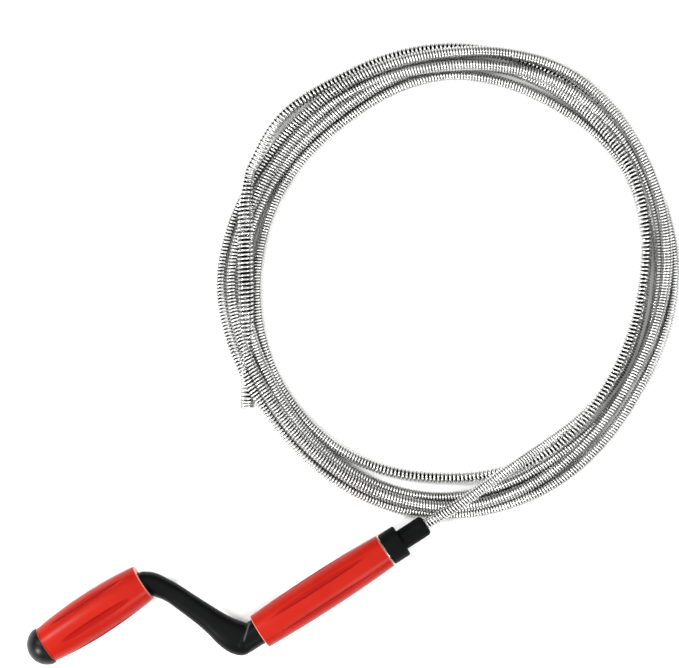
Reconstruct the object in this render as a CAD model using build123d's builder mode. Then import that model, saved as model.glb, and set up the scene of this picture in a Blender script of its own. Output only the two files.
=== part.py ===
"""Hand-cranked drain snake: a cranked handle with two turning grips and a coiled spring cable.

Frame: +X along the handle towards the cable, +Y from the main grip to the crank grip, +Z up.
The origin is under the middle of the handle, on the surface it lies on. Sizes are in mm.
"""
from build123d import *
from math import acos, cos, pi, radians, sin, tan
import os

os.makedirs("parts", exist_ok=True)

# ---- driving dimensions ----------------------------------------------------------------
main_grip_length = 112.0
main_grip_rear_radius = 13.5
main_grip_belly_radius = 14.8
main_grip_front_radius = 13.1
main_flute_depth = 1.0
main_flute_angle = 67.0

crank_grip_length = 87.0
crank_grip_outer_radius = 13.9
crank_grip_belly_radius = 17.0
crank_grip_inner_radius = 14.2
crank_flute_depth = 1.65
crank_flute_angle = 105.0

flute_count = 6
flute_tool_radius = 4.5

crank_throw = 78.3
arm_span = 53.0
arm_upper_reach = 5.35
arm_lower_reach = 13.25
arm_face_gap = 0.5
arm_elbow_radius = 10.15
arm_elbow_length = 14.0
arm_elbow_shift = 0.85
arm_upper_boss_radius = 8.0
arm_lower_boss_radius = 9.4
arm_boss_overlap = 2.0

collar_gap = 0.8
collar_length = 13.8
collar_radius = 12.6
collar_chamfer = 0.9
nose_length = 21.7
nose_radius = 7.9
nose_front_fillet = 3.0
nose_lip = 3.5

spindle_radius = 6.0
spindle_bore_radius = 4.8
spindle_socket = 26.0
spindle_entry = 7.2

crank_pin_radius = 5.0
crank_pin_socket = 8.0
crank_pin_entry = 2.5

bush_length = 14.0
bush_flange = 1.5
bush_wall = 3.0
spindle_bush_wall = 4.0
running_clearance = 0.05
end_play = 0.5
recess_margin = 1.2
thrust_washer = 0.8
front_washer = 0.5
main_recess_radius = 11.7

screw_shank_radius = 2.5
screw_shank_length = 12.0
screw_head_radius = 4.5
screw_head_height = 3.2
crank_washer_radius = 8.6
crank_washer_thickness = 1.2

cap_height = 13.6
cap_radius = 14.9
cap_rim = 2.2
cap_flat = 2.0
cap_shoulder = 4.2
cap_wall = 1.3
cap_skirt_length = 6.7
cap_hollow_depth = 7.0
cap_pocket_radius = 10.5
cap_pocket_depth = 10.5

grub_radius = 2.5
grub_hex = 1.3
grub_hex_depth = 1.5
grub_recess = 0.3
clamp_screw_spacing = 8.0
roll_pin_radius = 1.6
roll_pin_cover = 3.0

cable_radius = 4.5
cable_inner_length = 72.0
head_radius = 6.25
coil_height = 17.0
coil_top_round = 5.0
coil_centre = (263.95, 103.8)

# The coil's outer and inner edges, every 30 degrees around its centre from coil_start_angle.
coil_start_angle = -122.8
coil_outer_radii = (177.0, 174.0, 166.5, 173.5, 175.0, 183.0, 178.0, 175.0, 172.0, 173.5, 169.5, 173.5)
coil_inner_radii = (144.5, 137.0, 140.5, 145.0, 155.5, 150.0, 151.0, 142.0, 140.5, 140.5, 145.0, 148.0)

# The auger head lies across the far side of the coil: where it starts to widen, and its tip.
head_start = (177.0, 249.0, 13.5)
head_end = (88.6, 108.0, 6.8)

# ---- where things lie ------------------------------------------------------------------
front_reach = main_grip_length / 2 + collar_gap + collar_length + nose_length
rear_reach = main_grip_length / 2 + arm_span + crank_grip_length + cap_height
main_x = (rear_reach - front_reach) / 2
main_y = -(crank_throw + crank_grip_belly_radius - main_grip_belly_radius) / 2
main_z = main_grip_belly_radius
crank_y = main_y + crank_throw
crank_z = crank_grip_belly_radius

grip_rear_x = main_x - main_grip_length / 2
grip_front_x = main_x + main_grip_length / 2
collar_x = grip_front_x + collar_gap
nose_x = collar_x + collar_length
mouth_x = nose_x + nose_length
crank_inner_x = grip_rear_x - arm_span
crank_outer_x = crank_inner_x - crank_grip_length

boss_end_x = grip_rear_x + spindle_entry
spindle_rear_x = boss_end_x - spindle_socket
spindle_front_x = mouth_x - nose_lip
rear_bush_x = boss_end_x + thrust_washer + end_play
front_bush_x = grip_front_x - bush_length
spindle_bush_radius = spindle_radius + spindle_bush_wall
front_flange_radius = spindle_bush_radius + recess_margin

crank_boss_x = crank_inner_x - crank_pin_entry
crank_pin_x = crank_boss_x + crank_pin_socket
inner_bush_x = crank_boss_x - end_play
outer_bush_x = crank_outer_x + cap_pocket_depth
crank_pin_end_x = outer_bush_x - bush_flange - end_play
crank_bush_radius = crank_pin_radius + bush_wall
inner_flange_radius = crank_bush_radius + recess_margin

# The free cable from the nose to where it joins the coil, chosen by hand.
lead_route = [
    (mouth_x, main_y, main_z),
    (160.0, main_y, main_z),
    (176.0, -40.6, 21.5),
    (186.0, -40.2, 23.0),
    (210.0, -39.4, 23.0),
    (238.0, -38.8, 18.5),
    (262.0, -38.3, 12.5),
]


# ---- helpers ---------------------------------------------------------------------------
def long_plane(y, z):
    """A plane through an axis along X: its own x runs along X and its own y is the radius."""
    return Plane(origin=(0, y, z), x_dir=(1, 0, 0), z_dir=(0, -1, 0))


def turned(y, z, outline):
    """A turned piece about the X-wise axis at y, z, from corners (x, radius)."""
    with BuildPart() as piece:
        with BuildSketch(long_plane(y, z)):
            with BuildLine():
                Polyline(*outline, close=True)
            make_face()
        revolve(axis=Axis((0, y, z), (1, 0, 0)))
    return piece


def sleeve(y, z, start, end, outer, inner):
    """A plain tube or washer about the X-wise axis at y, z."""
    return turned(y, z, [(start, inner), (end, inner), (end, outer), (start, outer)])


def flanged_bush(y, z, face, length, outer, inner, flange_radius):
    """A bush whose flange starts at x = face; a negative length runs towards -X."""
    flange_end = face + (bush_flange if length > 0 else -bush_flange)
    end = face + length
    corners = [(face, inner), (end, inner), (end, outer), (flange_end, outer)]
    return turned(y, z, corners + [(flange_end, flange_radius), (face, flange_radius)])


def rod(x, y, start_z, end_z, radius):
    """An upright pin below an axis, from start_z to end_z."""
    with BuildPart() as piece:
        with BuildSketch(Plane.XY.offset(start_z)):
            with Locations((x, y)):
                Circle(radius)
        extrude(amount=end_z - start_z)
    return piece


def save(piece, label):
    """Label a finished piece and write its file."""
    piece.part.label = label
    export_step(piece.part, f"parts/{label}.step")


# ---- grips -----------------------------------------------------------------------------
def barrel(y, z, start, end, start_radius, belly_radius, end_radius, edge):
    """A grip's outer form: a barrel with rounded rims, still solid."""
    belly = ((start + end) / 2, belly_radius)
    with BuildPart() as piece:
        with BuildSketch(long_plane(y, z)):
            with BuildLine():
                Line((end, 0), (start, 0))
                Line((start, 0), (start, start_radius))
                TangentArc(belly, (start, start_radius), tangent=(start - end, 0))
                TangentArc(belly, (end, end_radius), tangent=(end - start, 0))
                Line((end, end_radius), (end, 0))
            make_face()
        revolve(axis=Axis((0, y, z), (1, 0, 0)))
        rims = piece.edges().filter_by(GeomType.CIRCLE)
        fillet(rims, radius=edge)
    return piece


def flutes(y, z, start, end, belly_radius, depth, first_angle):
    """Round cutters along a grip, equally spaced: each leaves a lens-shaped hollow over the belly."""
    with BuildPart() as piece:
        with BuildSketch(Plane.YZ.offset(start)):
            with Locations((y, z)):
                reach = belly_radius + flute_tool_radius - depth
                with PolarLocations(reach, flute_count, start_angle=first_angle):
                    Circle(flute_tool_radius)
        extrude(amount=end - start)
    return piece


def main_grip():
    """The long red grip: a barrel bored for its bushes and open at the rear around the arm."""
    size = (grip_rear_x, grip_front_x, main_grip_rear_radius, main_grip_belly_radius, main_grip_front_radius)
    form = barrel(main_y, main_z, *size, edge=0.6)
    cutters = flutes(main_y, main_z, grip_rear_x, grip_front_x, main_grip_belly_radius, main_flute_depth,
                     main_flute_angle)
    bore = sleeve(main_y, main_z, grip_rear_x, grip_front_x, spindle_bush_radius, 0)
    seat_x = rear_bush_x + bush_flange
    rear = sleeve(main_y, main_z, grip_rear_x, seat_x, main_recess_radius, 0)
    front = sleeve(main_y, main_z, grip_front_x - bush_flange, grip_front_x, front_flange_radius, 0)
    with BuildPart() as piece:
        add(form.part)
        add([cutters.part, bore.part, rear.part, front.part], mode=Mode.SUBTRACT)
    return piece


def crank_grip():
    """The shorter, fatter red grip that turns on the crank pin."""
    size = (crank_outer_x, crank_inner_x, crank_grip_outer_radius, crank_grip_belly_radius,
            crank_grip_inner_radius)
    form = barrel(crank_y, crank_z, *size, edge=0.8)
    run = (crank_y, crank_z, crank_outer_x, crank_inner_x)
    cutters = flutes(*run, crank_grip_belly_radius, crank_flute_depth, crank_flute_angle)
    bore = sleeve(crank_y, crank_z, crank_outer_x, crank_inner_x, crank_bush_radius, 0)
    seat_x = inner_bush_x - bush_flange
    inner = sleeve(crank_y, crank_z, seat_x, crank_inner_x, inner_flange_radius, 0)
    pocket_x = outer_bush_x + bush_flange
    pocket = sleeve(crank_y, crank_z, crank_outer_x, pocket_x, cap_pocket_radius, 0)
    with BuildPart() as piece:
        add(form.part)
        add([cutters.part, bore.part, inner.part, pocket.part], mode=Mode.SUBTRACT)
    return piece


def end_cap():
    """The black domed cap, pressed into the outer end of the crank grip over the screw."""
    base = crank_outer_x
    apex = base - cap_height
    skirt = base + cap_skirt_length
    hollow = base - cap_hollow_depth
    inner = cap_pocket_radius - cap_wall
    rim = base - cap_rim
    shoulder = (apex + cap_shoulder, cap_radius - cap_shoulder)
    with BuildPart() as piece:
        with BuildSketch(long_plane(crank_y, crank_z)):
            with BuildLine():
                Polyline((apex, cap_flat), (apex, 0), (hollow, 0), (hollow, inner), (skirt, inner),
                         (skirt, cap_pocket_radius), (base, cap_pocket_radius), (base, cap_radius),
                         (rim, cap_radius))
                ThreePointArc((rim, cap_radius), shoulder, (apex, cap_flat))
            make_face()
        revolve(axis=Axis((0, crank_y, crank_z), (1, 0, 0)))
    return piece


# ---- crank arm and spindle -------------------------------------------------------------
arm_start = Vector(crank_inner_x + arm_upper_reach, crank_y, crank_z)
arm_end = Vector(grip_rear_x - arm_lower_reach, main_y, main_z)

# The arm's oval sections along its spine, which runs from arm_start to arm_end and a little past both:
# fraction, sideways shift, half width in plan, half thickness.
arm_sections = [
    (-0.110, -4.6, 3.4, 4.5),
    (-0.064, -3.6, 6.2, 6.8),
    (0.0, -2.8, 8.3, 7.9),
    (0.050, -2.0, 8.7, 8.1),
    (0.106, -1.1, 8.4, 8.0),
    (0.218, 0.4, 7.8, 7.8),
    (0.352, 0.3, 8.0, 7.8),
    (0.481, 0.0, 8.4, 8.0),
    (0.609, -0.4, 9.0, 8.4),
    (0.703, -0.9, 9.8, 8.8),
    (0.808, -1.4, 11.3, 9.3),
    (0.878, -1.1, 12.3, 9.6),
    (0.937, -0.5, 12.9, 9.7),
    (0.995, 0.0, 12.3, 9.5),
    (1.046, 0.0, 10.3, 8.6),
    (1.081, 0.0, 6.9, 6.6),
    (1.106, 0.0, 2.8, 3.4),
]


def arm_run():
    """The arm's long slanting run: ovals lofted along its spine, cut square at the crank grip's face."""
    spine = arm_end - arm_start
    across = Vector(0, 0, 1).cross(spine).normalized()
    with BuildPart() as piece:
        for place, shift, half_width, half_thickness in arm_sections:
            centre = arm_start + spine * place + across * shift
            with BuildSketch(Plane(origin=centre, x_dir=across, z_dir=spine)):
                Ellipse(half_width, half_thickness)
        loft()
        split(bisect_by=Plane.YZ.offset(crank_inner_x + arm_face_gap), keep=Keep.TOP)
    return piece


def round_ended(y, z, centre_x, end_x, radius):
    """A bar along X with a round end about centre_x and a flat one at end_x."""
    side = 1 if end_x > centre_x else -1
    with BuildPart() as piece:
        with BuildSketch(long_plane(y, z)):
            with BuildLine():
                Line((centre_x - side * radius, 0), (end_x, 0))
                Line((end_x, 0), (end_x, radius))
                Line((end_x, radius), (centre_x, radius))
                CenterArc((centre_x, 0), radius, 90, side * 90)
            make_face()
        revolve(axis=Axis((0, y, z), (1, 0, 0)))
    return piece


def arm_body():
    """The S-shaped arm: its long run, its elbow at the main grip and a boss into each grip."""
    elbow_x = grip_rear_x - arm_elbow_length
    face_x = grip_rear_x - arm_face_gap
    upper_x = crank_inner_x + arm_face_gap
    elbow = round_ended(main_y + arm_elbow_shift, main_z, elbow_x, face_x, arm_elbow_radius)
    upper_boss = round_ended(crank_y, crank_z, upper_x, crank_boss_x, arm_upper_boss_radius)
    lower_boss = sleeve(main_y, main_z, face_x - arm_boss_overlap, boss_end_x, arm_lower_boss_radius, 0)
    with BuildPart() as piece:
        add(arm_run().part)
        add([elbow.part, upper_boss.part, lower_boss.part])
    return piece


def roll_pins():
    """The two blind pins, driven in from below, that lock the spindle and the crank pin."""
    spindle_pin_x = (spindle_rear_x + grip_rear_x) / 2
    spindle_pin_end = main_z - arm_lower_boss_radius + roll_pin_cover / 3
    spindle = rod(spindle_pin_x, main_y, spindle_pin_end, main_z + spindle_radius, roll_pin_radius)
    crank_roll_x = (crank_pin_x + crank_inner_x) / 2
    crank_pin_bottom = crank_z - arm_upper_boss_radius + roll_pin_cover / 3
    crank = rod(crank_roll_x, crank_y, crank_pin_bottom, crank_z + crank_pin_radius - 1, roll_pin_radius)
    return spindle, crank


def roll_pin_hole(pin):
    """The hole for a roll pin, open at the arm's underside."""
    box = pin.part.bounding_box()
    centre = box.center()
    return rod(centre.X, centre.Y, 0, box.max.Z, roll_pin_radius)


def crank_arm(spindle_pin, crank_roll_pin):
    """The arm with its two sockets and the holes for its roll pins."""
    spindle_hole = sleeve(main_y, main_z, spindle_rear_x, boss_end_x, spindle_radius, 0)
    pin_hole = sleeve(crank_y, crank_z, crank_boss_x, crank_pin_x, crank_pin_radius, 0)
    cross_holes = [roll_pin_hole(spindle_pin).part, roll_pin_hole(crank_roll_pin).part]
    with BuildPart() as piece:
        add(arm_body().part)
        add([spindle_hole.part, pin_hole.part] + cross_holes, mode=Mode.SUBTRACT)
    return piece


def hex_grub(x, y, top_z, bottom_z):
    """A socket grub screw standing on its point at top_z, with its hexagon at bottom_z."""
    with BuildPart() as piece:
        with BuildSketch(Plane.XY.offset(bottom_z)):
            with Locations((x, y)):
                Circle(grub_radius)
        extrude(amount=top_z - bottom_z)
        with BuildSketch(Plane.XY.offset(bottom_z)):
            with Locations((x, y)):
                RegularPolygon(grub_hex, 6)
        extrude(amount=grub_hex_depth, mode=Mode.SUBTRACT)
    return piece


def clamp_places():
    """Where the two clamp screws go through the nose, along X."""
    middle = nose_x + (nose_length - nose_lip) / 2
    return [middle - clamp_screw_spacing / 2, middle + clamp_screw_spacing / 2]


def clamp_screws():
    """The two grub screws under the nose that grip the cable."""
    with BuildPart() as piece:
        for x in clamp_places():
            grub = hex_grub(x, main_y, main_z - cable_radius, main_z - nose_radius + grub_recess)
            add(grub.part)
    return piece


def clamp_holes():
    """The screw holes under the nose, from the cable outwards."""
    with BuildPart() as piece:
        for x in clamp_places():
            add(rod(x, main_y, main_z - nose_radius - 1, main_z - cable_radius, grub_radius).part)
    return piece


def spindle_tube(spindle_pin):
    """The steel tube that runs from the arm through the main grip to the nose."""
    tube = sleeve(main_y, main_z, spindle_rear_x, spindle_front_x, spindle_radius, spindle_bore_radius)
    with BuildPart() as piece:
        add(tube.part)
        add([roll_pin_hole(spindle_pin).part, clamp_holes().part], mode=Mode.SUBTRACT)
    return piece


def collar():
    """The thick collar that keeps the main grip on the spindle."""
    ring = sleeve(main_y, main_z, collar_x, nose_x, collar_radius, spindle_radius)
    middle = (collar_x + nose_x) / 2
    hole = rod(middle, main_y, 0, main_z - spindle_radius, grub_radius)
    with BuildPart() as piece:
        add(ring.part)
        rims = piece.edges().filter_by(GeomType.CIRCLE).group_by(SortBy.RADIUS)[-1]
        chamfer(rims, length=collar_chamfer)
        add(hole.part, mode=Mode.SUBTRACT)
    return piece


def nose_sleeve():
    """The nose over the spindle's front end, where the cable comes out."""
    back = mouth_x - nose_lip
    outline = [
        (nose_x, spindle_radius), (back, spindle_radius), (back, spindle_bore_radius),
        (mouth_x, spindle_bore_radius), (mouth_x, nose_radius), (nose_x, nose_radius),
    ]
    form = turned(main_y, main_z, outline)
    with BuildPart() as piece:
        add(form.part)
        rims = piece.edges().filter_by(GeomType.CIRCLE).group_by(Axis.X)[-1]
        front_round = min(nose_front_fillet, nose_radius - spindle_bore_radius - 0.1)
        fillet(rims.sort_by(SortBy.RADIUS)[-1], radius=front_round)
        add(clamp_holes().part, mode=Mode.SUBTRACT)
    return piece


def crank_pin(crank_roll_pin):
    """The steel pin that the crank grip turns on, tapped for its screw."""
    body = sleeve(crank_y, crank_z, crank_pin_end_x, crank_pin_x, crank_pin_radius, 0)
    tapping = sleeve(crank_y, crank_z, crank_pin_end_x, crank_pin_end_x + screw_shank_length,
                     screw_shank_radius, 0)
    with BuildPart() as piece:
        add(body.part)
        add([tapping.part, roll_pin_hole(crank_roll_pin).part], mode=Mode.SUBTRACT)
    return piece


def retaining_screw():
    """The pan-head screw and its cross recess in the end of the crank pin."""
    seat = crank_pin_end_x - crank_washer_thickness
    top = seat - screw_head_height
    outline = [
        (top, 0), (crank_pin_end_x + screw_shank_length, 0),
        (crank_pin_end_x + screw_shank_length, screw_shank_radius), (seat, screw_shank_radius),
        (seat, screw_head_radius), (top + 1, screw_head_radius), (top, screw_head_radius - 1.2),
    ]
    form = turned(crank_y, crank_z, outline)
    with BuildPart() as piece:
        add(form.part)
        with BuildSketch(Plane.YZ.offset(top)):
            with Locations((crank_y, crank_z)):
                Rectangle(4.6, 1.0)
                Rectangle(1.0, 4.6)
        extrude(amount=screw_head_height / 2, mode=Mode.SUBTRACT)
    return piece


# ---- cable -----------------------------------------------------------------------------
def turn_at(before, corner, after):
    """The two runs that meet at a corner, and the angle between their directions."""
    inward = Vector(*corner) - Vector(*before)
    outward = Vector(*after) - Vector(*corner)
    return inward.length, outward.length, acos(inward.dot(outward) / inward.length / outward.length)


def run_radii(points):
    """The bend radius at each inner corner of a route."""
    radii = []
    for before, corner, after in zip(points, points[1:], points[2:]):
        run_in, run_out, turn = turn_at(before, corner, after)
        radii.append(0.45 * min(run_in, run_out) / tan(turn / 2))
    return radii


def cable_lead():
    """The free cable between the nose and the coil, as a plain tube."""
    radii = run_radii(lead_route)
    print("cable_lead bend radii", [round(radius, 1) for radius in radii])
    with BuildPart() as piece:
        with BuildLine() as line:
            FilletPolyline(*lead_route, radius=radii)
        with BuildSketch(Plane(origin=line.line @ 0, z_dir=line.line % 0)):
            Circle(cable_radius)
        sweep(path=line.line)
    print("cable_lead length", round(sum(edge.length for edge in line.edges()), 1))
    return piece


def ring_outline(radii):
    """Points every 30 degrees around the coil's centre."""
    step = 2 * pi / len(radii)
    first = radians(coil_start_angle)
    return [
        (coil_centre[0] + radius * cos(first + number * step),
         coil_centre[1] + radius * sin(first + number * step))
        for number, radius in enumerate(radii)
    ]


def cable_coil():
    """The coiled cable's outer shape: a ring that is flat below and rounded on top."""
    with BuildPart() as piece:
        with BuildSketch():
            with BuildLine():
                Spline(*ring_outline(coil_outer_radii), periodic=True)
            make_face()
            with BuildLine():
                Spline(*ring_outline(coil_inner_radii), periodic=True)
            make_face(mode=Mode.SUBTRACT)
        extrude(amount=coil_height)
        top = piece.faces().sort_by(Axis.Z)[-1]
        fillet(top.edges(), radius=coil_top_round)
    return piece


def auger_head():
    """The widened end of the cable, a straight stretch with a rounded tip."""
    start = Vector(*head_start)
    along = Vector(*head_end) - start
    length = along.length
    plane = Plane(origin=start, x_dir=along, z_dir=along.cross(Vector(0, 0, 1)))
    with BuildPart() as piece:
        with BuildSketch(plane):
            with BuildLine():
                Line((0, 0), (0, cable_radius))
                Line((0, cable_radius), (length / 3, head_radius))
                Line((length / 3, head_radius), (length - head_radius, head_radius))
                RadiusArc((length - head_radius, head_radius), (length, 0), head_radius)
                Line((length, 0), (0, 0))
            make_face()
        revolve(axis=Axis(start, along))
    return piece


# ---- build and save --------------------------------------------------------------------
spindle_pin, crank_roll_pin = roll_pins()
save(main_grip(), "main_grip")
save(flanged_bush(main_y, main_z, rear_bush_x, bush_length, spindle_bush_radius,
                  spindle_radius + running_clearance, main_recess_radius), "main_grip_rear_bush")
save(flanged_bush(main_y, main_z, grip_front_x, -bush_length, spindle_bush_radius,
                  spindle_radius + running_clearance, front_flange_radius), "main_grip_front_bush")
save(crank_grip(), "crank_grip")
save(flanged_bush(crank_y, crank_z, inner_bush_x, -bush_length, crank_bush_radius,
                  crank_pin_radius + running_clearance, inner_flange_radius), "crank_grip_inner_bush")
save(flanged_bush(crank_y, crank_z, outer_bush_x, bush_length, crank_bush_radius,
                  crank_pin_radius + running_clearance, cap_pocket_radius), "crank_grip_outer_bush")
save(end_cap(), "end_cap")

save(crank_arm(spindle_pin, crank_roll_pin), "crank_arm")
save(spindle_pin, "spindle_roll_pin")
save(crank_roll_pin, "crank_pin_roll_pin")
save(spindle_tube(spindle_pin), "spindle_tube")
save(sleeve(main_y, main_z, boss_end_x, boss_end_x + thrust_washer, arm_lower_boss_radius,
            spindle_radius + 2 * running_clearance), "rear_thrust_washer")
save(sleeve(main_y, main_z, collar_x - front_washer, collar_x, spindle_bush_radius,
            spindle_radius + 2 * running_clearance), "front_thrust_washer")
save(collar(), "collar")
save(hex_grub((collar_x + nose_x) / 2, main_y, main_z - spindle_radius,
              main_z - collar_radius + grub_recess), "collar_set_screw")
save(nose_sleeve(), "nose_sleeve")
save(clamp_screws(), "cable_clamp_screws")
save(crank_pin(crank_roll_pin), "crank_pin")
save(sleeve(crank_y, crank_z, crank_pin_end_x - crank_washer_thickness, crank_pin_end_x,
            crank_washer_radius, screw_shank_radius), "crank_washer")
save(retaining_screw(), "crank_retaining_screw")

save(sleeve(main_y, main_z, mouth_x - cable_inner_length, mouth_x, cable_radius, 0), "cable_inner_end")
save(cable_lead(), "cable_lead")
save(cable_coil(), "cable_coil")
save(auger_head(), "auger_head")
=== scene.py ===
"""Drain snake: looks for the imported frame. Everything is in metres, in the frame of the CAD model."""
from math import cos, hypot, pi, radians, sin

import bpy
import numpy as np
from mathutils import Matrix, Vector


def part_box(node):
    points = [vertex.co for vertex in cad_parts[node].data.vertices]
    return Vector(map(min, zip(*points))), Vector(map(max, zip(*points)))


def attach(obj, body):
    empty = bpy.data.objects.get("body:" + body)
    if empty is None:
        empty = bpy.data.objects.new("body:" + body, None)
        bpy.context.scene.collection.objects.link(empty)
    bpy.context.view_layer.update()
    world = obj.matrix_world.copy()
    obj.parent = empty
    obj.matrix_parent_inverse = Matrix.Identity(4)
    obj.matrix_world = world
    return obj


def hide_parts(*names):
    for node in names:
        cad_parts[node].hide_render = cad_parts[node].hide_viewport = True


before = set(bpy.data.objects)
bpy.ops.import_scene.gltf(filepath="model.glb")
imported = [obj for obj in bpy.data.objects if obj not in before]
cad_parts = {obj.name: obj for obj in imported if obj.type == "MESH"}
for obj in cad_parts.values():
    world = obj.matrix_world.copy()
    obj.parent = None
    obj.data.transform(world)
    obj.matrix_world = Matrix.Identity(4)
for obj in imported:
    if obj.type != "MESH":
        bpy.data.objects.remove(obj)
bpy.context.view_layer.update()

MM = 0.001

# ---- camera ----------------------------------------------------------------------------
CAMERA_TARGET = (0.1737, 0.1147, 0.012)
CAMERA_HEIGHT = 2.0
VIEW_WIDTH = 0.5093
CAMERA_TURN = -32.82    # degrees: how the object lies in the picture
SENSOR = 36.0

# ---- cable: sizes, and the free stretch between nose and coil ----------------------------
CABLE_DIAMETER = 9.0 * MM
WIRE_DIAMETER = 1.85 * MM
WIRE_STEPS = 12          # points in each turn of the wire
LEAD_ROUTE = [
    (150.95, -40.25, 14.8),
    (160.0, -40.25, 14.8),
    (176.0, -40.6, 21.5),
    (186.0, -40.2, 23.0),
    (210.0, -39.4, 23.0),
    (238.0, -38.8, 18.5),
]

# ---- coil: each turn's radius (mm) and height (layers up) every STEP_ANGLE round it -------
COIL_CENTRE = (263.95, 103.8)
COIL_START_ANGLE = -122.8
STEP_ANGLE = 30.0
LAYER_HEIGHT = 7.3
POINTS_PER_TURN = 24
FIRST_STEP = 1           # the lead joins the first turn one step on
TURN_RADII = [
    [152.0, 141.8, 146.0, 147.5, 158.5, 154.0, 155.0, 143.6, 142.7, 143.8, 148.3, 151.0],
    [147.5, 148.5, 142.2, 145.5, 160.0, 164.5, 164.5, 151.5, 151.5, 154.0, 153.0, 160.5],
    [163.5, 154.5, 156.0, 158.5, 166.0, 170.0, 161.0, 159.5, 156.5, 163.0, 160.0, 165.0],
    [170.0, 163.0, 154.5, 163.0, 171.5, 181.5, 170.5, 167.0, 164.5, 171.5, 167.0, 172.5],
    [176.2, 172.0, 164.0, 171.0, 171.2, 174.5, 176.0, 172.0],
]
TURN_LAYERS = [
    [2.0, 1.0, 0.0, 0.0, 0.0, 0.2, 0.0, 0.0, 0.0, 0.0, 0.0, 0.0],
    [0.0, 1.3, 1.2, 1.25, 2.0, 0.6, 0.0, 0.6, 0.0, 0.0, 1.1, 0.0],
    [0.0, 0.0, 0.0, 0.0, 1.0, 1.05, 1.05, 0.0, 0.9, 0.8, 1.6, 1.05],
    [1.0, 0.0, 1.1, 1.15, 2.0, 1.05, 1.05, 0.6, 0.0, 0.0, 1.2, 0.0],
    [0.0, 0.0, 0.9, 0.0, 0.0, 0.0, 0.0, 0.0],
]

# ---- the cable's last stretch, which peels off outside the coil --------------------------
PEEL_ROUTE = [
    (239.0, 278.5, 4.6),
    (218.0, 273.6, 6.5),
    (197.5, 262.5, 12.0),
]

# ---- auger head: its own route, from where the cable widens to the tip -------------------
HEAD_DIAMETER = 12.5 * MM
HEAD_WIRE = 1.9 * MM
HEAD_WIRE_STEPS = 16
HEAD_FLARE = 0.045       # how long the cable takes to widen into the head
HEAD_ROUTE = [
    (183.5, 253.5, 14.0),
    (173.5, 243.0, 15.5),
    (160.0, 223.5, 16.5),
    (144.0, 199.0, 16.5),
    (128.5, 174.5, 15.0),
    (112.0, 148.6, 10.0),
    (95.6, 123.2, 7.0),
    (84.6, 105.7, 6.6),
]

# ---- winding: the wire's pitch, which opens and closes along the cable -------------------
NOSE_PITCH = 2.6 * MM
LEAD_PITCH = 2.05 * MM
FINE_PITCH = 2.2 * MM
WIDE_PITCH = 3.0 * MM
LOOSE_PITCH = 2.5 * MM
SLACK_PITCH = 2.6 * MM
HEAD_PITCH = 3.1 * MM
TIP_PITCH = HEAD_WIRE * 1.02
# Each change: where it starts and how long it takes, in metres from the nose, and the new pitch.
PITCH_CHANGES = [
    (0.008, 0.03, LEAD_PITCH),
    (0.16, 0.1, FINE_PITCH),
    (0.88, 0.06, WIDE_PITCH),
    (1.28, 0.1, FINE_PITCH),
    (2.55, 0.1, LOOSE_PITCH),
    (2.85, 0.1, FINE_PITCH),
    (3.5, 0.1, SLACK_PITCH),
    (3.9, 0.1, FINE_PITCH),
]
LAST_CHANGE = (0.36, 0.08)      # the same, measured back from the head
TIP_CHANGE = (0.008, 0.004)     # the same, measured back from the tip

# ---- grips: the round barrel's radii, which the flutes are cut below ---------------------
MAIN_GRIP_RADII = (14.8 * MM, 13.3 * MM)       # at the belly, and at the ends
CRANK_GRIP_RADII = (17.0 * MM, 14.05 * MM)

# ---- colours ----------------------------------------------------------------------------
RED_DARK = (0.285, 0.0055, 0.0015)
RED_LIGHT = (0.335, 0.010, 0.0035)
# painted shade: the deeper red in the grips' flutes
RED_FLUTE_SHADE = (0.24, 0.002, 0.0006)
# painted highlight: the pale red along the grips' rims, over this width
RED_RIM_HIGHLIGHT = (0.62, 0.22, 0.18)
RIM_HIGHLIGHT_WIDTH = 0.7 * MM
FLUTE_EDGE = (0.12 * MM, 0.42 * MM)    # how far below the barrel the painted shade in the flutes starts, and is full
BLACK_DARK = (0.0009, 0.0010, 0.0011)
BLACK_LIGHT = (0.0018, 0.0020, 0.0022)
# painted highlight: a pale line along the crank arm's crease, at ARM_CREASE
CREASE_HIGHLIGHT = (0.05, 0.05, 0.052)
CREASE_WIDTH = 0.9 * MM
ARM_CREASE = ((0.001, -0.0295), (-0.011, -0.0395))
STEEL_DULL = (0.50, 0.50, 0.49)
STEEL_BRIGHT = (0.72, 0.72, 0.71)
# painted shade: the dark colour on the inner side of each turn of wire, between the turns
STEEL_INNER_SHADE = (0.01, 0.01, 0.011)
PLATE_DARK = (0.42, 0.42, 0.41)
PLATE_LIGHT = (0.52, 0.52, 0.51)
NYLON_DARK = (0.66, 0.63, 0.57)
NYLON_LIGHT = (0.74, 0.72, 0.66)
FLOOR_DARK = (0.90, 0.90, 0.895)
FLOOR_LIGHT = (0.93, 0.93, 0.925)
NONE = (0.0, 0.0, 0.0)
FULL = (1.0, 1.0, 1.0)

# ---- floor and light: the sky's brightness, and each light's place, size and power -------
FLOOR_HALF = 6.0
FLOOR_HEIGHT = -0.0004
SKY_LOW = (0.15, (0.06, 0.06, 0.06))
SKY_HIGH = (0.9, FULL)
SKY_STRENGTH = 1.6
LIGHTS = {
    "key": ((-0.9, 1.3, 1.7), 0.4, 30),
    "fill": ((1.5, -0.4, 1.5), 0.5, 12),
    "rim": ((0.2, -1.5, 1.1), 0.4, 10),
    "side": ((-1.3, 0.0, 0.7), 0.14, 22),
}


# ---- small helpers ----------------------------------------------------------------------
def metres(points):
    """A list of points given in millimetres, in metres."""
    return [tuple(value * MM for value in point) for point in points]


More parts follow.
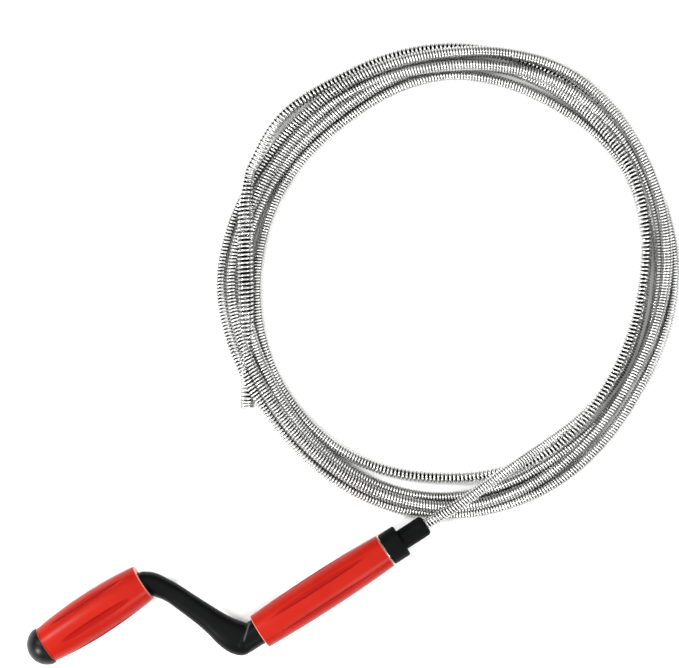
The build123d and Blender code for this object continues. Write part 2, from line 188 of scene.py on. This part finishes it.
def smooth_through(values, place):
    """A smooth value between evenly spaced values, passing through each (Catmull-Rom)."""
    index = min(int(place), len(values) - 2)
    t = place - index
    before = values[max(index - 1, 0)]
    start = values[index]
    end = values[index + 1]
    after = values[min(index + 2, len(values) - 1)]
    rise = end - start
    bend = 2 * before - 5 * start + 4 * end - after
    return start + 0.5 * t * (end - before + t * (bend + t * (3 * (start - end) + after - before)))


def make_object(name, mesh):
    """A new object in the scene from a mesh."""
    piece = bpy.data.objects.new(name, mesh)
    bpy.context.scene.collection.objects.link(piece)
    return piece


# ---- materials --------------------------------------------------------------------------
class Surface:
    """A procedural material: a Principled shader and short calls that add nodes to it."""

    def __init__(self, name, roughness, metallic=0.0, specular=0.5):
        self.material = bpy.data.materials.new(name)
        self.material.use_nodes = True
        self.nodes = self.material.node_tree.nodes
        self.links = self.material.node_tree.links
        self.shader = self.nodes["Principled BSDF"]
        self.shader.inputs["Roughness"].default_value = roughness
        self.shader.inputs["Metallic"].default_value = metallic
        self.shader.inputs["Specular IOR Level"].default_value = specular
        place = self.nodes.new("ShaderNodeTexCoord")
        self.place = place.outputs["Object"]

    def noise(self, scale, detail=3.0, stretch=None):
        """A noise pattern in object space, with features of about 1/scale metres."""
        texture = self.nodes.new("ShaderNodeTexNoise")
        texture.inputs["Scale"].default_value = scale
        texture.inputs["Detail"].default_value = detail
        source = self.place
        if stretch:
            mapping = self.nodes.new("ShaderNodeMapping")
            mapping.inputs["Scale"].default_value = stretch
            self.links.new(source, mapping.inputs["Vector"])
            source = mapping.outputs["Vector"]
        self.links.new(source, texture.inputs["Vector"])
        return texture.outputs["Fac"]

    def ramp(self, source, stops):
        """Two colours along a pattern: stops are (place, colour)."""
        ramp = self.nodes.new("ShaderNodeValToRGB")
        for stop, (place, colour) in zip(ramp.color_ramp.elements, stops):
            stop.position = place
            stop.color = (*colour, 1.0)
        self.links.new(source, ramp.inputs["Fac"])
        return ramp.outputs["Color"]

    def colour(self, source):
        """Links a colour pattern to the surface."""
        self.links.new(source, self.shader.inputs["Base Color"])

    def blend(self, mask, below, above):
        """One colour pattern over another, where the mask is one."""
        mix = self.nodes.new("ShaderNodeMix")
        mix.data_type = "RGBA"
        for socket, colour in (("A", below), ("B", above)):
            if isinstance(colour, tuple):
                mix.inputs[socket].default_value = (*colour, 1.0)
            else:
                self.links.new(colour, mix.inputs[socket])
        self.links.new(mask, mix.inputs["Factor"])
        return mix.outputs["Result"]

    def maths(self, operation, source, value=0.0):
        """A sum done on a pattern, with a number or with another pattern."""
        node = self.nodes.new("ShaderNodeMath")
        node.operation = operation
        if isinstance(value, float):
            node.inputs[1].default_value = value
        else:
            self.links.new(value, node.inputs[1])
        self.links.new(source, node.inputs[0])
        return node.outputs["Value"]

    def split(self):
        """The object-space place as three outputs, X, Y and Z."""
        split = self.nodes.new("ShaderNodeSeparateXYZ")
        self.links.new(self.place, split.inputs["Vector"])
        return [split.outputs[axis] for axis in "XYZ"]

    def step(self, source, low, high):
        """A mask that rises from zero to one as the pattern goes from low to high."""
        step = self.nodes.new("ShaderNodeMapRange")
        step.inputs["From Min"].default_value = low
        step.inputs["From Max"].default_value = high
        self.links.new(source, step.inputs["Value"])
        return step.outputs["Result"]

    def highlighted_rims(self, colour, ends, painted_light):
        """A painted highlight: a paler colour along the two rims of a grip that lies along X between these
        ends.
        """
        half = (ends[1] - ends[0]) / 2
        reach = self.maths("ABSOLUTE", self.maths("SUBTRACT", self.split()[0], ends[0] + half))
        return self.blend(self.step(reach, half - RIM_HIGHLIGHT_WIDTH, half - RIM_HIGHLIGHT_WIDTH / 4), colour, painted_light)

    def shaded_flutes(self, colour, box, belly, end, flute_shade):
        """Painted shade: a deeper colour where a grip's surface lies under its round barrel form, in the
        flutes.
        """
        low, high = box
        x, y, z = self.split()
        half = (high[0] - low[0]) / 2
        along = self.maths("DIVIDE", self.maths("SUBTRACT", x, low[0] + half), half)
        form = self.maths("MULTIPLY", self.maths("MULTIPLY", along, along), end - belly)
        across = self.maths("SUBTRACT", y, (low[1] + high[1]) / 2)
        up = self.maths("SUBTRACT", z, (low[2] + high[2]) / 2)
        square = self.maths("ADD", self.maths("MULTIPLY", across, across), self.maths("MULTIPLY", up, up))
        depth = self.maths("SUBTRACT", self.maths("ADD", form, belly), self.maths("SQRT", square))
        return self.blend(self.step(depth, *FLUTE_EDGE), colour, flute_shade)

    def crease_highlight(self, colour, start, end, width, highlight):
        """A painted highlight: a fine pale line along a crease between two points, as seen from above."""
        x, y, _ = self.split()
        length = hypot(end[0] - start[0], end[1] - start[1])
        run_x = (end[0] - start[0]) / length
        run_y = (end[1] - start[1]) / length
        dx = self.maths("SUBTRACT", x, start[0])
        dy = self.maths("SUBTRACT", y, start[1])
        along = self.maths("ADD", self.maths("MULTIPLY", dx, run_x), self.maths("MULTIPLY", dy, run_y))
        off = self.maths("SUBTRACT", self.maths("MULTIPLY", dx, run_y), self.maths("MULTIPLY", dy, run_x))
        near = self.step(self.maths("ABSOLUTE", off), width, width / 3)
        reach = self.maths("ABSOLUTE", self.maths("SUBTRACT", along, length / 2))
        inside = self.step(reach, length / 2, length / 3)
        return self.blend(self.maths("MULTIPLY", near, inside), colour, highlight)

    def roughness(self, source, low, high):
        """Roughness from a pattern, between low and high."""
        span = self.nodes.new("ShaderNodeMapRange")
        span.inputs["To Min"].default_value = low
        span.inputs["To Max"].default_value = high
        self.links.new(source, span.inputs["Value"])
        self.links.new(span.outputs["Result"], self.shader.inputs["Roughness"])

    def bump(self, source, depth, strength=1.0):
        """A fine relief of that depth, in metres."""
        bump = self.nodes.new("ShaderNodeBump")
        bump.inputs["Distance"].default_value = depth
        bump.inputs["Strength"].default_value = strength
        self.links.new(source, bump.inputs["Height"])
        self.links.new(bump.outputs["Normal"], self.shader.inputs["Normal"])


def red_plastic(node, radii):
    """A grip's moulded red plastic: a soft gloss, faint mottling, painted shade in the flutes and a painted
    highlight along the rims.
    """
    surface = Surface(node + "_red", 0.3, specular=0.1)
    low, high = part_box(node)
    red = surface.ramp(surface.noise(35, 4), [(0.3, RED_DARK), (0.72, RED_LIGHT)])
    # painted shade in the flutes
    red = surface.shaded_flutes(red, (low, high), *radii, RED_FLUTE_SHADE)
    # painted highlight along the rims
    surface.colour(surface.highlighted_rims(red, (low[0], high[0]), RED_RIM_HIGHLIGHT))
    surface.roughness(surface.noise(160, 3), 0.24, 0.38)
    surface.bump(surface.noise(1600, 2), 0.04 * MM, 0.35)
    return surface.material


def black_plastic(name, specular, crease_highlight=None):
    """Moulded black plastic: satin, with fine scuffs, and a painted highlight along a crease if one is
    given.
    """
    surface = Surface(name, 0.34, specular=specular)
    black = surface.ramp(surface.noise(60, 4), [(0.3, BLACK_DARK), (0.75, BLACK_LIGHT)])
    surface.colour(surface.crease_highlight(black, *crease_highlight, CREASE_WIDTH, CREASE_HIGHLIGHT) if crease_highlight else black)
    surface.roughness(surface.noise(220, 4), 0.28, 0.44)
    surface.bump(surface.noise(1300, 2), 0.05 * MM, 0.4)
    return surface.material


def matte_black_plastic():
    """The collar's and nose's duller black plastic."""
    surface = Surface("matte_black_plastic", 0.55, specular=0.06)
    surface.colour(surface.ramp(surface.noise(80, 4), [(0.3, BLACK_DARK), (0.75, BLACK_LIGHT)]))
    surface.roughness(surface.noise(300, 4), 0.48, 0.64)
    surface.bump(surface.noise(1700, 3), 0.07 * MM, 0.5)
    return surface.material


def spring_steel():
    """Spring wire: steel tone on the outer side of each turn, and painted shade on its inner side, darkening
    the gaps between the turns.
    """
    surface = Surface("spring_steel", 0.24, metallic=1.0)
    crest = surface.nodes.new("ShaderNodeAttribute")
    crest.attribute_name = "crest"
    bright = surface.ramp(surface.noise(45, 4), [(0.28, STEEL_DULL), (0.7, STEEL_BRIGHT)])
    # painted shade on the inner side of each turn
    painted_light = surface.ramp(crest.outputs["Fac"], [(0.45, NONE), (0.8, FULL)])
    surface.colour(surface.blend(painted_light, STEEL_INNER_SHADE, bright))
    surface.roughness(surface.noise(240, 4), 0.14, 0.3)
    surface.bump(surface.noise(2200, 2), 0.02 * MM, 0.4)
    return surface.material


def plated_steel():
    """Zinc-plated hardware with turning marks."""
    surface = Surface("plated_steel", 0.3, metallic=1.0)
    surface.colour(surface.ramp(surface.noise(90, 3), [(0.3, PLATE_DARK), (0.7, PLATE_LIGHT)]))
    surface.roughness(surface.noise(500, 3, (8, 1, 1)), 0.24, 0.42)
    surface.bump(surface.noise(1500, 2, (6, 1, 1)), 0.03 * MM, 0.4)
    return surface.material


def nylon():
    """Natural nylon bushes."""
    surface = Surface("nylon", 0.5)
    surface.colour(surface.ramp(surface.noise(120, 3), [(0.3, NYLON_DARK), (0.7, NYLON_LIGHT)]))
    surface.roughness(surface.noise(400, 3), 0.42, 0.6)
    surface.bump(surface.noise(1400, 2), 0.04 * MM, 0.3)
    return surface.material


# ---- cable routes -----------------------------------------------------------------------
def coil_points():
    """The coil's turns: POINTS_PER_TURN points in each, at the turn's radius and layer there."""
    radii = [radius for row in TURN_RADII for radius in row]
    layers = [layer for row in TURN_LAYERS for layer in row]
    stride = 360.0 / POINTS_PER_TURN / STEP_ANGLE
    # A quadratic spline runs a little inside its points, so they are set that much further out.
    outward = 1.0 / (0.75 + 0.25 * cos(2 * pi / POINTS_PER_TURN))
    points = []
    for number in range(int(FIRST_STEP / stride), int((len(radii) - 1) / stride) + 1):
        place = number * stride
        angle = radians(COIL_START_ANGLE + place * STEP_ANGLE)
        radius = smooth_through(radii, place) * outward
        height = CABLE_DIAMETER / MM / 2 + max(smooth_through(layers, place), 0.0) * LAYER_HEIGHT
        x = COIL_CENTRE[0] + radius * cos(angle)
        y = COIL_CENTRE[1] + radius * sin(angle)
        points.append((x, y, height))
    return points


def route_line(name, route):
    """Evenly spaced points along the smooth spline that a route's points control."""
    curve = bpy.data.curves.new(name + "_line", "CURVE")
    curve.dimensions = "3D"
    curve.resolution_u = 16
    spline = curve.splines.new("NURBS")
    spline.points.add(len(route) - 1)
    for point, place in zip(spline.points, route):
        point.co = (*place, 1.0)
    spline.order_u = 3
    spline.use_endpoint_u = True
    holder = bpy.data.objects.new(name + "_line", curve)
    mesh = bpy.data.meshes.new_from_object(holder)
    line = np.array([vertex.co[:] for vertex in mesh.vertices])
    bpy.data.objects.remove(holder)
    bpy.data.meshes.remove(mesh)
    bpy.data.curves.remove(curve)
    return line


class Path:
    """A centreline with a steady frame across it, read at any distance along it."""

    def __init__(self, line, spacing=0.001):
        runs = np.linalg.norm(np.diff(line, axis=0), axis=1)
        along = np.concatenate([[0.0], np.cumsum(runs)])
        self.length = along[-1]
        self.distance = np.linspace(0.0, self.length, int(self.length / spacing) + 1)
        self.points = np.stack([np.interp(self.distance, along, line[:, axis]) for axis in range(3)], axis=1)
        self.tangents = np.gradient(self.points, self.distance, axis=0)
        self.tangents /= np.linalg.norm(self.tangents, axis=1)[:, None]
        self.sides = np.zeros_like(self.points)
        side = np.cross((0.0, 0.0, 1.0), self.tangents[0])
        for number, tangent in enumerate(self.tangents):
            side = side - tangent * side.dot(tangent)
            side /= np.linalg.norm(side)
            self.sides[number] = side
        self.ups = np.cross(self.tangents, self.sides)

    def read(self, values, distance):
        """Any of the path's rows of vectors at these distances."""
        return np.stack([np.interp(distance, self.distance, values[:, axis]) for axis in range(3)], axis=1)


def unit(vectors):
    """Each row at length one."""
    return vectors / np.linalg.norm(vectors, axis=1)[:, None]


def tube_mesh(name, centres, first, second, radius, sides):
    """A closed wire of round section along centres, with first and second across it."""
    count = len(centres)
    turn = np.arange(sides) * 2 * pi / sides
    radius = np.broadcast_to(radius, (count,))
    ring = first[:, None, :] * np.cos(turn)[None, :, None] + second[:, None, :] * np.sin(turn)[None, :, None]
    vertices = (centres[:, None, :] + ring * radius[:, None, None]).reshape(-1, 3)
    start = np.arange(count - 1)[:, None] * sides
    here = start + np.arange(sides)[None, :]
    beside = start + (np.arange(sides)[None, :] + 1) % sides
    quads = np.stack([here, beside, beside + sides, here + sides], axis=2).reshape(-1, 4)
    mesh = bpy.data.meshes.new(name)
    caps = [list(range(sides))[::-1], [(count - 1) * sides + number for number in range(sides)]]
    mesh.from_pydata(vertices.tolist(), [], quads.tolist() + caps)
    mesh.polygons.foreach_set("use_smooth", [True] * len(mesh.polygons))
    crest = mesh.attributes.new("crest", "FLOAT", "POINT")
    crest.data.foreach_set("value", np.tile(0.5 + 0.5 * np.cos(turn), count))
    mesh.update()
    return mesh


def spring(name, path, diameter_at, pitch_at, wire, steps, sides=6):
    """A helical wire wound round a path, its outer diameter and pitch changing along it."""
    pitch = pitch_at(path.distance)
    gaps = np.diff(path.distance) / ((pitch[1:] + pitch[:-1]) / 2)
    turns = np.concatenate([[0.0], np.cumsum(gaps)])
    wanted = np.arange(0.0, turns[-1], 1.0 / steps)
    distance = np.interp(wanted, turns, path.distance)
    angle = (wanted * 2 * pi)[:, None]
    out = path.read(path.sides, distance) * np.cos(angle) + path.read(path.ups, distance) * np.sin(angle)
    out = unit(out)
    centres = path.read(path.points, distance) + out * (diameter_at(distance)[:, None] / 2 - wire / 2)
    along = unit(np.gradient(centres, axis=0))
    out = unit(out - along * np.sum(out * along, axis=1)[:, None])
    return make_object(name, tube_mesh(name, centres, out, np.cross(along, out), wire / 2, sides))


def eased(first, changes):
    """A function of distance: the first value, then each change as (start, span, new value), eased."""
    def read(distance):
        result = np.full_like(distance, first, dtype=float)
        before = first
        for start, span, after in changes:
            t = np.clip((distance - start) / span, 0.0, 1.0)
            result += (after - before) * t * t * (3 - 2 * t)
            before = after
        return result
    return read


# ---- camera, cable and head -------------------------------------------------------------
def add_camera():
    """A camera looking straight down, turned as the object lies in the picture."""
    data = bpy.data.cameras.new("camera")
    data.sensor_width = SENSOR
    data.lens = SENSOR * CAMERA_HEIGHT / VIEW_WIDTH
    camera = bpy.data.objects.new("camera", data)
    camera.location = Vector(CAMERA_TARGET) + Vector((0, 0, CAMERA_HEIGHT))
    camera.rotation_euler = (0, 0, radians(CAMERA_TURN))
    bpy.context.scene.collection.objects.link(camera)
    bpy.context.scene.camera = camera


def add_cable(steel):
    """The spring cable in one piece from the nose, round the coil, to the auger head."""
    route = metres(LEAD_ROUTE + coil_points() + PEEL_ROUTE + HEAD_ROUTE[:1])
    path = Path(route_line("cable", route))
    print("cable length", round(path.length, 3))
    back, span = LAST_CHANGE
    pitch_at = eased(NOSE_PITCH, PITCH_CHANGES + [(path.length - back, span, HEAD_PITCH)])
    diameter_at = eased(CABLE_DIAMETER, [])
    cable = spring("spring_cable", path, diameter_at, pitch_at, WIRE_DIAMETER, WIRE_STEPS)
    cable.data.materials.append(steel)
    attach(cable, "crank")
    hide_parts("cable_lead", "cable_coil")
    return cable, path, route


def add_head(steel):
    """The auger head: the same wire wound wider, with close turns at its tip."""
    path = Path(route_line("head", metres(HEAD_ROUTE)))
    back, span = TIP_CHANGE
    diameter_at = eased(CABLE_DIAMETER, [(0.0, HEAD_FLARE, HEAD_DIAMETER)])
    pitch_at = eased(HEAD_PITCH, [(path.length - back, span, TIP_PITCH)])
    head = spring("auger_head_spring", path, diameter_at, pitch_at, HEAD_WIRE, HEAD_WIRE_STEPS)
    head.data.materials.append(steel)
    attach(head, "crank")
    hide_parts("auger_head")
    return head


# ---- floor and light --------------------------------------------------------------------
def add_floor():
    """A plain pale floor, just under the object."""
    mesh = bpy.data.meshes.new("floor")
    signs = [(-1, -1), (1, -1), (1, 1), (-1, 1)]
    corners = [(across * FLOOR_HALF, along * FLOOR_HALF, FLOOR_HEIGHT) for across, along in signs]
    mesh.from_pydata(corners, [], [(0, 1, 2, 3)])
    floor = make_object("floor", mesh)
    surface = Surface("floor", 0.9)
    surface.colour(surface.ramp(surface.noise(3, 2), [(0.3, FLOOR_DARK), (0.7, FLOOR_LIGHT)]))
    floor.data.materials.append(surface.material)


def area_light(name, place, size, power):
    """A soft square light aimed at the object."""
    data = bpy.data.lights.new(name, "AREA")
    data.size = size
    data.energy = power
    light = bpy.data.objects.new(name, data)
    light.location = place
    aim = Vector(CAMERA_TARGET) - Vector(place)
    light.rotation_euler = aim.to_track_quat("-Z", "Y").to_euler()
    bpy.context.scene.collection.objects.link(light)


def add_lights():
    """Bright surround light and four soft boxes, as for a catalogue picture."""
    world = bpy.data.worlds.new("world")
    world.use_nodes = True
    nodes = world.node_tree.nodes
    links = world.node_tree.links
    direction = nodes.new("ShaderNodeTexCoord")
    height = nodes.new("ShaderNodeSeparateXYZ")
    links.new(direction.outputs["Generated"], height.inputs["Vector"])
    ramp = nodes.new("ShaderNodeValToRGB")
    for stop, (place, colour) in zip(ramp.color_ramp.elements, (SKY_LOW, SKY_HIGH)):
        stop.position = place
        stop.color = (*colour, 1.0)
    links.new(height.outputs["Z"], ramp.inputs["Fac"])
    background = nodes["Background"]
    links.new(ramp.outputs["Color"], background.inputs["Color"])
    background.inputs["Strength"].default_value = SKY_STRENGTH
    bpy.context.scene.world = world
    bpy.context.scene.view_settings.view_transform = "Standard"
    for name, (place, size, power) in LIGHTS.items():
        area_light(name, place, size, power)


# ---- the scene --------------------------------------------------------------------------
add_camera()
steel = spring_steel()
cable, cable_path, cable_route = add_cable(steel)
head = add_head(steel)

matte_black = matte_black_plastic()
plated = plated_steel()
bush = nylon()
NODE_MATERIALS = {
    "main_grip": red_plastic("main_grip", MAIN_GRIP_RADII),
    "crank_grip": red_plastic("crank_grip", CRANK_GRIP_RADII),
    "end_cap": black_plastic("cap_black", 0.16),
    # the arm gets a painted highlight along its crease
    "crank_arm": black_plastic("arm_black", 0.08, ARM_CREASE),
    "collar": matte_black,
    "nose_sleeve": matte_black,
    "main_grip_rear_bush": bush,
    "main_grip_front_bush": bush,
    "crank_grip_inner_bush": bush,
    "crank_grip_outer_bush": bush,
}
for name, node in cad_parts.items():
    node.data.materials.clear()
    node.data.materials.append(NODE_MATERIALS.get(name, plated))

add_floor()
add_lights()
